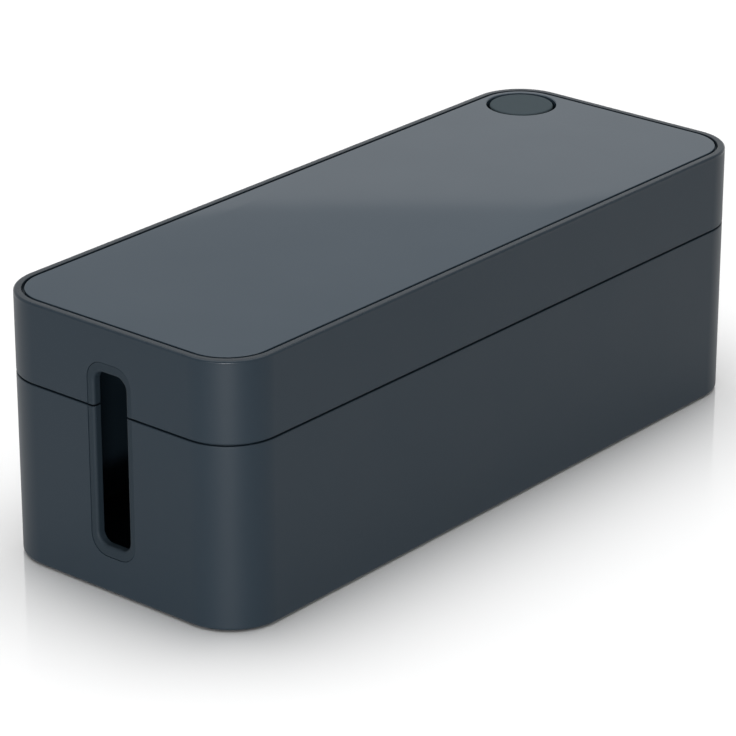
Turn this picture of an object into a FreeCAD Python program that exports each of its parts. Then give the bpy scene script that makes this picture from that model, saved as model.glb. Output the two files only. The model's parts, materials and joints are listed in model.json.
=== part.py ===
import FreeCAD, Part
import math
import os
import Sketcher

# Cable management box: a long box with round corners that stands on a desk or
# floor and hides a power strip. A lid lifts straight off, a soft trim lines the
# tall cable slot in each end, and a round rubber plug closes a cable outlet in
# the lid. Millimetres. The origin is on the table under the box's centre, X runs
# along the length and Z points up. The left end is at -X, the front at -Y.

V = FreeCAD.Vector
UP = V(0, 0, 1)
SAME = 0.01

SIZES = (
    # The whole box, over everything
    ("length", 406.0, "length over the end walls"),
    ("width", 157.0, "width over the side walls"),
    ("height", 138.0, "height from the table to the lid's top"),
    ("corner_radius", 28.5, "radius of the upright corners, outside"),
    ("wall", 3.0, "thickness of the tub's and the lid's walls"),
    # The tub
    ("floor_thickness", 3.0, "thickness of the tub's floor"),
    ("floor_round", 3.0, "inside round between floor and wall"),
    ("bottom_round", 1.5, "outside round at the bottom edge"),
    # The joint between tub and lid
    ("lid_height", 41.5, "height of the lid's skirt, from its lower edge to the top"),
    ("seam_gap", 1.0, "shadow gap between tub and lid"),
    ("seam_round", 0.5, "round on the two edges at the shadow gap"),
    ("tongue_height", 5.0, "height of the tub's tongue above its rim"),
    ("tongue_chamfer", 0.4, "lead-in on the tongue's outer top edge"),
    ("lip_thickness", 1.5, "thickness of the lid's lip outside the tongue"),
    ("lid_clearance", 0.3, "gap between the tongue and the lid's lip"),
    # The top of the lid
    ("rim_width", 3.9, "width of the rim that frames the top"),
    ("top_round", 1.2, "round on the lid's outer top edge"),
    ("groove_width", 1.5, "groove between the rim and the top panel"),
    ("groove_round", 0.3, "round on the two edges of the groove"),
    ("panel_thickness", 2.6, "thickness of the top panel"),
    ("deck_thickness", 2.4, "thickness of the deck under the panel"),
    ("deck_round", 2.0, "inside round between deck and skirt"),
    # The studs under the panel, whose ends are melted into heads below the deck
    ("stud_radius", 2.0, "radius of a panel stud"),
    ("stud_clearance", 0.2, "gap round a stud in the deck"),
    ("stud_head_radius", 3.5, "radius of a melted stud head"),
    ("stud_head_height", 1.2, "height of a melted stud head"),
    ("stud_margin", 10.5, "from the outlet's tube to the last column of studs"),
    ("stud_inset", 32.0, "from the walls' outer faces to a row of studs"),
    # The cable outlet in the lid and its plug
    ("outlet_inset", 27.5, "from the walls' outer faces to the outlet's centre"),
    ("outlet_radius", 19.0, "radius of the outlet"),
    ("outlet_depth", 6.5, "depth from the top to the ledge that carries the plug"),
    ("outlet_wall", 2.0, "thickness of the outlet's tube"),
    ("outlet_edge_round", 0.6, "round on the outlet's edge in the panel"),
    ("ledge_width", 5.0, "width of the ledge"),
    ("ledge_thickness", 2.0, "thickness of the ledge"),
    ("plug_gap", 1.8, "finger gap round the plug"),
    ("plug_round", 1.0, "round on the plug's top edge"),
    ("plug_top", 2.5, "thickness of the plug's top"),
    ("spigot_clearance", 0.3, "gap between the plug's spigot and the ledge"),
    ("spigot_wall", 1.7, "thickness of the spigot's wall"),
    ("spigot_height", 4.0, "length of the spigot below the plug's seat"),
    # The cable slots and their trims
    ("slot_width", 20.6, "width of a cable slot"),
    ("slot_start", 24.9, "from the table to the slot's lower end"),
    ("slot_stop", 23.4, "from the slot's upper end to the lid's top"),
    ("slot_radius", 6.0, "corner radius of the slot"),
    ("slot_edge_round", 1.8, "round where a cable bends over the trim"),
    ("trim_side_band", 3.9, "width of the trim's face beside the slot"),
    ("trim_end_band", 5.3, "width of the trim's face above and below the slot"),
    ("trim_recess", 1.2, "depth of the wall's recess for the trim's face"),
    ("trim_sink", 0.1, "how far the trim's face lies below the wall's"),
    ("trim_web", 2.0, "thickness of the trim where it passes through the wall"),
    ("trim_flange", 1.6, "thickness of the trim's flange inside the wall"),
    ("trim_clearance", 0.1, "seam between the trim and the wall"),
    ("trim_round", 0.4, "round on the trim's outer edge"),
    ("cheek_margin", 1.4, "from the trim's face to the end of the lid's full wall"),
    # The feet
    ("foot_radius", 7.0, "radius of a rubber foot"),
    ("foot_thickness", 2.0, "thickness of a rubber foot"),
    ("foot_recess", 1.2, "depth of the foot's recess in the floor"),
    ("foot_clearance", 0.2, "gap round the foot in its recess"),
    ("foot_round", 0.3, "round on the foot's lower edge"),
    ("foot_inset", 26.0, "from the walls' outer faces to a foot's centre"),
    # Cuts that run out of the material
    ("overrun", 5.0, "how far a cut runs past the face that it leaves"),
)

# Places worked out from the sizes, as expressions on the sheet.
TUB_BOTTOM = "(Sizes.foot_thickness - Sizes.foot_recess)"
FLOOR_TOP = f"({TUB_BOTTOM} + Sizes.floor_thickness)"
SKIRT_EDGE = "(Sizes.height - Sizes.lid_height)"
TUB_RIM = f"({SKIRT_EDGE} - Sizes.seam_gap)"
TONGUE_TOP = f"({TUB_RIM} + Sizes.tongue_height)"
DECK_TOP = "(Sizes.height - Sizes.panel_thickness)"
DECK_UNDERSIDE = f"({DECK_TOP} - Sizes.deck_thickness)"
LEDGE_TOP = "(Sizes.height - Sizes.outlet_depth)"
LEDGE_UNDERSIDE = f"({LEDGE_TOP} - Sizes.ledge_thickness)"
TONGUE_INSET = "(Sizes.lip_thickness + Sizes.lid_clearance)"
PANEL_INSET = "(Sizes.rim_width + Sizes.groove_width)"
OUTLET_X = "(Sizes.length / 2 - Sizes.outlet_inset)"
OUTLET_Y = "(Sizes.width / 2 - Sizes.outlet_inset)"
LEDGE_RADIUS = "(Sizes.outlet_radius - Sizes.ledge_width)"
STUD_X = f"({OUTLET_X} - Sizes.outlet_radius - Sizes.outlet_wall - Sizes.stud_margin)"
STUD_Y = "(Sizes.width / 2 - Sizes.stud_inset)"
PLUG_RADIUS = "(Sizes.outlet_radius - Sizes.plug_gap)"
SPIGOT_RADIUS = f"({LEDGE_RADIUS} - Sizes.spigot_clearance)"
SLOT_TOP = "(Sizes.height - Sizes.slot_stop)"
SLOT_CENTRE = f"((Sizes.slot_start + {SLOT_TOP}) / 2)"
SLOT_HEIGHT = f"({SLOT_TOP} - Sizes.slot_start)"
END_FACE = "(-Sizes.length / 2)"
CHEEK = "(Sizes.slot_width / 2 + Sizes.trim_side_band + Sizes.cheek_margin)"

# Studs stand in two rows of five, at these shares of the way to the outer ones.
STUD_COLUMN_SHARES = (-1.0, -0.5, 0.0, 0.5, 1.0)
STUD_ROW_SHARES = (-1.0, 1.0)

doc = FreeCAD.newDocument("cable_management_box")
sheet = doc.addObject("Spreadsheet::Sheet", "Sizes")
for row, (alias, number, meaning) in enumerate(SIZES, start=1):
    sheet.set(f"A{row}", meaning)
    sheet.set(f"B{row}", str(number))
    sheet.setAlias(f"B{row}", alias)
doc.recompute()


def size(expression):
    """The length that an expression on the sheet gives, as a number."""
    return float(sheet.evalExpression(expression.replace("Sizes.", "")))


def new_body(label):
    body = doc.addObject("PartDesign::Body", label)
    body.Label = label
    return body


def new_sketch(body, name, plane, across="0", along="0", out="0"):
    """A sketch on one of the body's own planes, its origin moved by expressions."""
    sketch = body.newObject("Sketcher::SketchObject", name)
    support = next(f for f in body.Origin.OriginFeatures if f.Role == plane)
    sketch.AttachmentSupport = [(support, "")]
    sketch.MapMode = "FlatFace"
    for axis, place in (("x", across), ("y", along), ("z", out)):
        sketch.setExpression(f"AttachmentOffset.Base.{axis}", place)
    return sketch


def drive(sketch, name, kind, where, expression):
    """A named dimension in a sketch, bound to an expression."""
    index = sketch.addConstraint(Sketcher.Constraint(kind, *where, size(expression)))
    sketch.renameConstraint(index, name)
    sketch.setExpression(f"Constraints.{name}", expression)


def join_ends(sketch, kind, edges):
    """Join each edge's end to the next one's start, round a closed outline."""
    for edge, following in zip(edges, edges[1:] + edges[:1]):
        sketch.addConstraint(Sketcher.Constraint(kind, edge, 2, following, 1))


def draw_rounded_rectangle(sketch, width, depth, radius):
    """A rectangle with round corners, centred on the sketch's origin."""
    x, y, r = size(width) / 2, size(depth) / 2, size(radius)
    quarter = math.pi / 2
    edges = []
    for turn, (side_x, side_y) in enumerate(((1, 1), (-1, 1), (-1, -1), (1, -1))):
        centre = V(side_x * (x - r), side_y * (y - r), 0)
        circle = Part.Circle(centre, UP, r)
        arc = Part.ArcOfCircle(circle, turn * quarter, (turn + 1) * quarter)
        edges.append(sketch.addGeometry(arc))
        start = arc.EndPoint
        across = V(-start.x, start.y, 0) if turn % 2 == 0 else V(start.x, -start.y, 0)
        edges.append(sketch.addGeometry(Part.LineSegment(start, across)))
        direction = "Horizontal" if turn % 2 == 0 else "Vertical"
        sketch.addConstraint(Sketcher.Constraint(direction, edges[-1]))
    join_ends(sketch, "Tangent", edges)
    arcs, lines = edges[0::2], edges[1::2]
    for arc in arcs[1:]:
        sketch.addConstraint(Sketcher.Constraint("Equal", arcs[0], arc))
    sketch.addConstraint(Sketcher.Constraint("Symmetric", arcs[0], 3, arcs[2], 3, -1, 1))
    drive(sketch, "width", "DistanceX", (lines[1], 1, lines[3], 1), width)
    drive(sketch, "depth", "DistanceY", (lines[2], 1, lines[0], 1), depth)
    drive(sketch, "radius", "Radius", (arcs[0],), radius)


def draw_rectangle(sketch, width, depth):
    """A rectangle centred on the sketch's origin."""
    x, y = size(width) / 2, size(depth) / 2
    corners = (V(x, y, 0), V(-x, y, 0), V(-x, -y, 0), V(x, -y, 0))
    edges = []
    for turn, corner in enumerate(corners):
        line = Part.LineSegment(corner, corners[(turn + 1) % len(corners)])
        edges.append(sketch.addGeometry(line))
        direction = "Horizontal" if turn % 2 == 0 else "Vertical"
        sketch.addConstraint(Sketcher.Constraint(direction, edges[-1]))
    join_ends(sketch, "Coincident", edges)
    sketch.addConstraint(Sketcher.Constraint("Symmetric", edges[0], 1, edges[2], 1, -1, 1))
    drive(sketch, "width", "DistanceX", (edges[1], 1, edges[3], 1), width)
    drive(sketch, "depth", "DistanceY", (edges[2], 1, edges[0], 1), depth)


def draw_circle(sketch, radius, x="0", y="0", name="radius"):
    """A circle whose centre is a given way from the sketch's origin."""
    circle = sketch.addGeometry(Part.Circle(V(size(x), size(y), 0), UP, size(radius)))
    drive(sketch, f"{name}_x", "DistanceX", (-1, 1, circle, 3), x)
    drive(sketch, f"{name}_y", "DistanceY", (-1, 1, circle, 3), y)
    drive(sketch, name, "Radius", (circle,), radius)


def inset_outline(body, name, inset, out):
    """The box's rounded outline, drawn in by an inset, on a level plane."""
    sketch = new_sketch(body, name, "XY_Plane", out=out)
    draw_rounded_rectangle(sketch, f"Sizes.length - 2 * {inset}", f"Sizes.width - 2 * {inset}",
                           f"Sizes.corner_radius - {inset}")
    return sketch


def slot_outline(body, name, beside, above, out):
    """The cable slot's outline, grown beside and above it, on a plane across the box."""
    sketch = new_sketch(body, name, "YZ_Plane", along=SLOT_CENTRE, out=out)
    draw_rounded_rectangle(sketch, f"Sizes.slot_width + 2 * {beside}", f"{SLOT_HEIGHT} + 2 * {above}",
                           f"Sizes.slot_radius + {beside}")
    return sketch


def add(body, sketch, length, reverse=False):
    """Pad a sketch, and see that the body gained material."""
    before = volume(body)
    feature = body.newObject("PartDesign::Pad", f"{sketch.Name}_pad")
    feature.Profile = sketch
    feature.Reversed = reverse
    feature.setExpression("Length", length)
    doc.recompute()
    if not volume(body) > before:
        raise RuntimeError(f"{feature.Name} adds nothing")
    return feature


def cut(body, sketch, length, reverse=False, both_ways=False):
    """Pocket a sketch, and see that the body lost material."""
    before = volume(body)
    feature = body.newObject("PartDesign::Pocket", f"{sketch.Name}_pocket")
    feature.Profile = sketch
    feature.Reversed = reverse
    feature.Midplane = both_ways
    feature.setExpression("Length", length)
    doc.recompute()
    if not volume(body) < before:
        raise RuntimeError(f"{feature.Name} cuts nothing")
    return feature


def volume(body):
    return body.Shape.Volume if body.Tip and not body.Shape.isNull() else 0.0


def soften(body, name, chosen, amount, kind="Fillet"):
    """Round or chamfer the edges of the body that a test chooses."""
    base = body.Tip
    edges = [f"Edge{i}" for i, edge in enumerate(base.Shape.Edges, start=1) if chosen(edge)]
    if not edges:
        raise RuntimeError(f"{name} finds no edges on {body.Label}")
    feature = body.newObject(f"PartDesign::{kind}", name)
    feature.Base = (base, edges)
    feature.setExpression("Radius" if kind == "Fillet" else "Size", amount)
    doc.recompute()
    return feature


def level_outline(inset, height):
    """Chooses the edges of a level outline, a given inset inside the box's own."""
    x = size(f"Sizes.length / 2 - {inset}")
    y = size(f"Sizes.width / 2 - {inset}")
    z = size(height)

    def chosen(edge):
        points = [vertex.Point for vertex in edge.Vertexes]
        on_level = all(abs(p.z - z) < SAME for p in points)
        return on_level and all(abs(abs(p.x) - x) < SAME or abs(abs(p.y) - y) < SAME for p in points)
    return chosen


def upright_outline(beside, above, place):
    """Chooses the edges of the slot's outline, grown beside and above it, at one X."""
    y = size(f"Sizes.slot_width / 2 + {beside}")
    low, high = size(f"Sizes.slot_start - {above}"), size(f"{SLOT_TOP} + {above}")
    x = size(place)

    def chosen(edge):
        points = [vertex.Point for vertex in edge.Vertexes]
        at_place = all(abs(p.x - x) < SAME for p in points)
        return at_place and all(abs(abs(p.y) - y) < SAME or min(abs(p.z - low), abs(p.z - high)) < SAME
                                for p in points)
    return chosen


def ring(radius, height):
    """Chooses a level circle of a given radius at a given height."""
    r, z = size(radius), size(height)

    def chosen(edge):
        curve = edge.Curve
        if not isinstance(curve, Part.Circle):
            return False
        return abs(curve.Radius - r) < SAME and abs(curve.Center.z - z) < SAME
    return chosen


def cut_slots(body):
    """The slot through both end walls, and the shallow recess round it outside."""
    web = "(Sizes.trim_web + Sizes.trim_clearance)"
    beside = "(Sizes.trim_side_band + Sizes.trim_clearance)"
    above = "(Sizes.trim_end_band + Sizes.trim_clearance)"
    through = slot_outline(body, "slot", web, web, "0")
    cut(body, through, "Sizes.length + Sizes.overrun", both_ways=True)
    for side, inward in ((-1, True), (1, False)):
        face = f"{side} * Sizes.length / 2"
        recess = slot_outline(body, "recess", beside, above, face)
        cut(body, recess, "Sizes.trim_recess", reverse=inward)


def make_tub():
    """The open tub: floor, walls, a rebated rim with a tongue, slots and foot recesses."""
    body = new_body("base_tub")
    add(body, inset_outline(body, "walls", "0", TUB_BOTTOM), f"{TUB_RIM} - {TUB_BOTTOM}")
    soften(body, "bottom_edge", level_outline("0", TUB_BOTTOM), "Sizes.bottom_round")
    soften(body, "rim_edge", level_outline("0", TUB_RIM), "Sizes.seam_round")
    add(body, inset_outline(body, "tongue", TONGUE_INSET, TUB_RIM), "Sizes.tongue_height")
    soften(body, "tongue_edge", level_outline(TONGUE_INSET, TONGUE_TOP), "Sizes.tongue_chamfer", "Chamfer")
    cut(body, inset_outline(body, "inside", "Sizes.wall", FLOOR_TOP), f"{TONGUE_TOP} - {FLOOR_TOP}",
        reverse=True)
    soften(body, "floor_edge", level_outline("Sizes.wall", FLOOR_TOP), "Sizes.floor_round")
    gap = new_sketch(body, "tongue_gap", "YZ_Plane", along=f"({TUB_RIM} + {TONGUE_TOP} + Sizes.overrun) / 2")
    draw_rectangle(gap, f"2 * ({CHEEK} + Sizes.lid_clearance)", "Sizes.tongue_height + Sizes.overrun")
    cut(body, gap, "Sizes.length", both_ways=True)
    cut_slots(body)
    feet = new_sketch(body, "foot_recesses", "XY_Plane", out=TUB_BOTTOM)
    for number, (side_x, side_y) in enumerate(FOOT_CORNERS.values()):
        draw_circle(feet, "Sizes.foot_radius + Sizes.foot_clearance", foot_place("length", side_x),
                    foot_place("width", side_y), f"foot{number}")
    cut(body, feet, "Sizes.foot_recess", reverse=True)
    return body


def make_lid():
    """The lid: a skirt with a lip, a sunken deck, and the outlet's tube and ledge."""
    body = new_body("lid_shell")
    add(body, inset_outline(body, "skirt", "0", SKIRT_EDGE), "Sizes.lid_height")
    soften(body, "top_edge", level_outline("0", "Sizes.height"), "Sizes.top_round")
    soften(body, "skirt_edge", level_outline("0", SKIRT_EDGE), "Sizes.seam_round")
    cut(body, inset_outline(body, "sunken_deck", "Sizes.rim_width", "Sizes.height"), "Sizes.panel_thickness")
    soften(body, "rim_edge", level_outline("Sizes.rim_width", "Sizes.height"), "Sizes.groove_round")
    hollow = inset_outline(body, "hollow", "Sizes.wall", DECK_UNDERSIDE)
    cut(body, hollow, f"{DECK_UNDERSIDE} - {SKIRT_EDGE}")
    soften(body, "deck_edge", level_outline("Sizes.wall", DECK_UNDERSIDE), "Sizes.deck_round")
    cut(body, inset_outline(body, "lip", "Sizes.lip_thickness", TONGUE_TOP), f"{TONGUE_TOP} - {SKIRT_EDGE}")
    for side in (-1, 1):
        middle = f"{side} * (Sizes.length - Sizes.lip_thickness - Sizes.wall) / 2"
        cheek = new_sketch(body, "cheek", "XY_Plane", across=middle, out=SKIRT_EDGE)
        draw_rectangle(cheek, "Sizes.wall - Sizes.lip_thickness", f"2 * {CHEEK}")
        add(body, cheek, f"{TONGUE_TOP} - {SKIRT_EDGE}")
    tube = new_sketch(body, "outlet_tube", "XY_Plane", OUTLET_X, OUTLET_Y, LEDGE_UNDERSIDE)
    draw_circle(tube, "Sizes.outlet_radius + Sizes.outlet_wall")
    add(body, tube, f"{DECK_UNDERSIDE} - {LEDGE_UNDERSIDE}")
    well = new_sketch(body, "outlet", "XY_Plane", OUTLET_X, OUTLET_Y, DECK_TOP)
    draw_circle(well, "Sizes.outlet_radius")
    cut(body, well, f"{DECK_TOP} - {LEDGE_TOP}")
    hole = new_sketch(body, "ledge_hole", "XY_Plane", OUTLET_X, OUTLET_Y, LEDGE_TOP)
    draw_circle(hole, LEDGE_RADIUS)
    cut(body, hole, "Sizes.ledge_thickness")
    studs = new_sketch(body, "stud_holes", "XY_Plane", out=DECK_TOP)
    draw_studs(studs, "Sizes.stud_radius + Sizes.stud_clearance")
    cut(body, studs, "Sizes.deck_thickness")
    cut_slots(body)
    return body


def draw_studs(sketch, radius):
    """A circle for each stud of the two rows."""
    places = [(column, row) for row in STUD_ROW_SHARES for column in STUD_COLUMN_SHARES]
    for number, (column, row) in enumerate(places):
        draw_circle(sketch, radius, f"{column} * {STUD_X}", f"{row} * {STUD_Y}", f"stud{number}")


def make_panel():
    """The flat panel set into the lid's top, with the outlet's hole and its studs."""
    body = new_body("lid_top_panel")
    add(body, inset_outline(body, "plate", PANEL_INSET, DECK_TOP), "Sizes.panel_thickness")
    soften(body, "plate_edge", level_outline(PANEL_INSET, "Sizes.height"), "Sizes.groove_round")
    hole = new_sketch(body, "outlet", "XY_Plane", OUTLET_X, OUTLET_Y, "Sizes.height")
    draw_circle(hole, "Sizes.outlet_radius")
    cut(body, hole, "Sizes.panel_thickness")
    soften(body, "outlet_edge", ring("Sizes.outlet_radius", "Sizes.height"), "Sizes.outlet_edge_round")
    shanks = new_sketch(body, "studs", "XY_Plane", out=DECK_TOP)
    draw_studs(shanks, "Sizes.stud_radius")
    heads = new_sketch(body, "stud_heads", "XY_Plane", out=DECK_UNDERSIDE)
    draw_studs(heads, "Sizes.stud_head_radius")
    add(body, shanks, "Sizes.deck_thickness + Sizes.stud_head_height", reverse=True)
    add(body, heads, "Sizes.stud_head_height", reverse=True)
    return body


def make_plug():
    """The rubber plug: a thick round top on a wall that seats on the ledge, and a spigot."""
    body = new_body("outlet_plug")
    rows = (
        ("top", PLUG_RADIUS, "Sizes.height", "Sizes.outlet_depth"),
        ("spigot", SPIGOT_RADIUS, LEDGE_TOP, "Sizes.spigot_height"),
    )
    for name, radius, start, drop in rows:
        sketch = new_sketch(body, name, "XY_Plane", OUTLET_X, OUTLET_Y, start)
        draw_circle(sketch, radius)
        add(body, sketch, drop, reverse=True)
    core = new_sketch(body, "core", "XY_Plane", OUTLET_X, OUTLET_Y, "Sizes.height - Sizes.plug_top")
    draw_circle(core, f"{SPIGOT_RADIUS} - Sizes.spigot_wall")
    cut(body, core, "Sizes.outlet_depth + Sizes.spigot_height - Sizes.plug_top")
    soften(body, "top_edge", ring(PLUG_RADIUS, "Sizes.height"), "Sizes.plug_round")
    return body


def make_trim(label, upper, turned):
    """Half of a slot's trim: a face in the wall's recess, a web and an inner flange.

    The upper half belongs to the lid and the lower one to the tub. The trim of
    the right end is the left one's moulding, turned half round.
    """
    body = new_body(label)
    face = f"({END_FACE} + Sizes.trim_sink)"
    shoulder = f"({END_FACE} + Sizes.trim_recess)"
    inner_wall = f"({END_FACE} + Sizes.wall)"
    back = f"({inner_wall} + Sizes.trim_flange)"
    side_band, end_band, web = "Sizes.trim_side_band", "Sizes.trim_end_band", "Sizes.trim_web"
    for name, beside, above, start, stop in (("face", side_band, end_band, face, shoulder),
                                             ("web", web, web, shoulder, inner_wall),
                                             ("flange", side_band, end_band, inner_wall, back)):
        add(body, slot_outline(body, name, beside, above, start), f"{stop} - {start}")
    cut(body, slot_outline(body, "hole", "0", "0", back), f"{back} - {face}")
    soften(body, "outer_edge", upright_outline(side_band, end_band, face), "Sizes.trim_round")
    soften(body, "cable_edge", upright_outline("0", "0", face), "Sizes.slot_edge_round")
    if upper:
        level, reach = SKIRT_EDGE, f"({SKIRT_EDGE} - Sizes.slot_start + {end_band} + Sizes.overrun)"
        middle = f"{level} - {reach} / 2"
    else:
        level, reach = TUB_RIM, f"({SLOT_TOP} + {end_band} + Sizes.overrun - {TUB_RIM})"
        middle = f"{level} + {reach} / 2"
    other_half = new_sketch(body, "other_half", "YZ_Plane", along=middle, out=inner_wall)
    draw_rectangle(other_half, f"Sizes.slot_width + 2 * {side_band} + Sizes.overrun", reach)
    cut(body, other_half, "2 * (Sizes.wall + Sizes.trim_flange + Sizes.overrun)", both_ways=True)
    if turned:
        body.Placement = FreeCAD.Placement(V(0, 0, 0), FreeCAD.Rotation(UP, 180))
    return body


FOOT_CORNERS = {
    "foot_front_left": (-1, -1),
    "foot_front_right": (1, -1),
    "foot_rear_left": (-1, 1),
    "foot_rear_right": (1, 1),
}


def foot_place(along, side):
    """How far a foot's centre lies from the box's centre, along one side."""
    return f"{side} * (Sizes.{along} / 2 - Sizes.foot_inset)"


def make_foot(label, side_x, side_y):
    """A round rubber foot, glued into its recess in the tub's floor."""
    body = new_body(label)
    disc = new_sketch(body, "disc", "XY_Plane")
    draw_circle(disc, "Sizes.foot_radius")
    add(body, disc, "Sizes.foot_thickness")
    soften(body, "lower_edge", ring("Sizes.foot_radius", "0"), "Sizes.foot_round")
    body.setExpression("Placement.Base.x", foot_place("length", side_x))
    body.setExpression("Placement.Base.y", foot_place("width", side_y))
    return body


pieces = [make_tub(), make_lid(), make_panel(), make_plug()]
for end, turned in (("left", False), ("right", True)):
    for half, upper in (("lower", False), ("upper", True)):
        pieces.append(make_trim(f"{end}_slot_trim_{half}", upper, turned))
for label, (side_x, side_y) in FOOT_CORNERS.items():
    pieces.append(make_foot(label, side_x, side_y))
doc.recompute()

for thing in doc.Objects:
    if {"Invalid", "Error"} & set(thing.State):
        raise RuntimeError(f"{thing.Name} is not valid: {thing.State}")
for body in pieces:
    shape = body.Shape
    if shape.isNull() or not shape.isValid() or len(shape.Solids) != 1:
        raise RuntimeError(f"{body.Label} is not one valid solid")

os.makedirs("parts", exist_ok=True)
for body in pieces:
    body.Shape.exportStep(f"parts/{body.Label}.step")
    box = body.Shape.optimalBoundingBox()
    print(f"{body.Label}: {body.Shape.Volume:.0f} mm3, x {box.XMin:.2f} to {box.XMax:.2f}, "
          f"y {box.YMin:.2f} to {box.YMax:.2f}, z {box.ZMin:.2f} to {box.ZMax:.2f}")
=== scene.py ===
# %% [markdown]
# # A cable management box
# The real object is two plastic mouldings, a tub and a lid that lifts off, with
# a flat panel set into the lid, a round rubber plug over a cable outlet, a soft
# trim round the tall cable slot in each end, and four rubber feet. This lesson
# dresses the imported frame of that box: each step says what a piece or a finish
# is on the real object, how it could be made in Blender, and why it is made
# this way.

import json
import math

import bmesh
import bpy
from mathutils import Matrix, Vector

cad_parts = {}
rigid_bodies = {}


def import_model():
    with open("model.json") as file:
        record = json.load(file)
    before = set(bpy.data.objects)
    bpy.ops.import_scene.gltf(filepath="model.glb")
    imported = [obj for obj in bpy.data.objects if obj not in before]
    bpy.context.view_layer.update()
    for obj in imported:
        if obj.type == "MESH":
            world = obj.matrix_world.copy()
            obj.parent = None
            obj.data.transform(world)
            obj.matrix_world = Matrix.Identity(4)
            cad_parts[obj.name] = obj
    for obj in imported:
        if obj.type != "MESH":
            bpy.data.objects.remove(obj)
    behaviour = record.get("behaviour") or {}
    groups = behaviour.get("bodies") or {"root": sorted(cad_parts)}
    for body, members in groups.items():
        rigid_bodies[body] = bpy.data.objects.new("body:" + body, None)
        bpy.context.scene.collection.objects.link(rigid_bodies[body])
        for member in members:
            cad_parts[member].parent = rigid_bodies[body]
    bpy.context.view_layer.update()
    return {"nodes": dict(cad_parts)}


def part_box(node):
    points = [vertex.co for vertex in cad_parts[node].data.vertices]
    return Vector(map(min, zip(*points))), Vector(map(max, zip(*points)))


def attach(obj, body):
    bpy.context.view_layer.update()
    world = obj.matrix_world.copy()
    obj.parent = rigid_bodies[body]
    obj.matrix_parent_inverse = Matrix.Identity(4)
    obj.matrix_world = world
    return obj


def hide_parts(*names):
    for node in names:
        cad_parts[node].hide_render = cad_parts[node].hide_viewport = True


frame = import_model()
print("frame nodes:", sorted(frame["nodes"]))

# %% [markdown]
# ## Sizes
# Everything is in metres, in the frame's own axes: X runs along the box, Y to
# its rear and Z up. A size that a node's box gives is read from the frame, so
# that a piece still fits if the frame changes.

# %% Sizes from the frame
MM = 0.001
tub_low, tub_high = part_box("base_tub")
lid_low, lid_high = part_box("lid_shell")
panel_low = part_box("lid_top_panel")[0]
plug_low, plug_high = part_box("outlet_plug")
trim_low, trim_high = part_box("left_slot_trim_lower")
upper_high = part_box("left_slot_trim_upper")[1]
foot_low, foot_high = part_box("foot_front_left")

LENGTH = lid_high.x - lid_low.x
WIDTH = lid_high.y - lid_low.y
TOP = lid_high.z
SKIRT_EDGE = lid_low.z
TONGUE_TOP = tub_high.z
TUB_RIM = trim_high.z
TUB_BOTTOM = tub_low.z
PANEL_INSET = panel_low.x - lid_low.x
OUTLET = Vector(((plug_low.x + plug_high.x) / 2, (plug_low.y + plug_high.y) / 2, 0))
PLUG_RADIUS = (plug_high.x - plug_low.x) / 2
FOOT_RADIUS = (foot_high.x - foot_low.x) / 2
print(f"box {LENGTH / MM:.1f} x {WIDTH / MM:.1f} x {TOP / MM:.1f} mm, plug radius {PLUG_RADIUS / MM:.1f}")

# %% [markdown]
# The rest are the small sizes of the mouldings, written once. They have the
# same values as the frame's own pieces, so that the dressed lid still closes
# on the dressed tub.

# %% Sizes of the mouldings
CORNER_RADIUS = 28.5 * MM
WALL = 3.0 * MM
FLOOR_THICKNESS = 3.0 * MM
FLOOR_TOP = TUB_BOTTOM + FLOOR_THICKNESS
FLOOR_ROUND = 3.0 * MM
BOTTOM_ROUND = 1.5 * MM
SEAM_ROUND = 0.5 * MM
LIP = 1.5 * MM
LID_CLEARANCE = 0.3 * MM
TONGUE_INSET = LIP + LID_CLEARANCE
TONGUE_CHAMFER = 0.4 * MM
RIM_WIDTH = 3.9 * MM
TOP_ROUND = 1.2 * MM
GROOVE_ROUND = 0.3 * MM
PANEL_THICKNESS = 2.6 * MM
DECK_THICKNESS = 2.4 * MM
DECK_ROUND = 2.0 * MM
DECK_TOP = TOP - PANEL_THICKNESS
DECK_UNDERSIDE = DECK_TOP - DECK_THICKNESS
print(f"walls {WALL / MM:.1f} mm thick, deck {DECK_TOP / MM:.1f} mm above the table")

# %% Sizes of the outlet and the plug
FINGER_GAP = 1.8 * MM
OUTLET_RADIUS = PLUG_RADIUS + FINGER_GAP
OUTLET_WALL = 2.0 * MM
OUTLET_EDGE_ROUND = 0.6 * MM
LEDGE_DEPTH = 6.5 * MM
LEDGE_THICKNESS = 2.0 * MM
LEDGE_WIDTH = 5.0 * MM
LEDGE_TOP = TOP - LEDGE_DEPTH
LEDGE_UNDERSIDE = LEDGE_TOP - LEDGE_THICKNESS
LEDGE_RADIUS = OUTLET_RADIUS - LEDGE_WIDTH
SPIGOT_CLEARANCE = 0.3 * MM
SPIGOT_RADIUS = LEDGE_RADIUS - SPIGOT_CLEARANCE
SPIGOT_WALL = 1.7 * MM
SPIGOT_ROUND = 0.5 * MM
PLUG_TOP = 2.5 * MM
PLUG_ROUND = 1.0 * MM
CENTRE_RADIUS = 2.0 * MM
print(f"outlet radius {OUTLET_RADIUS / MM:.1f} mm, cable hole radius {LEDGE_RADIUS / MM:.1f} mm")

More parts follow.
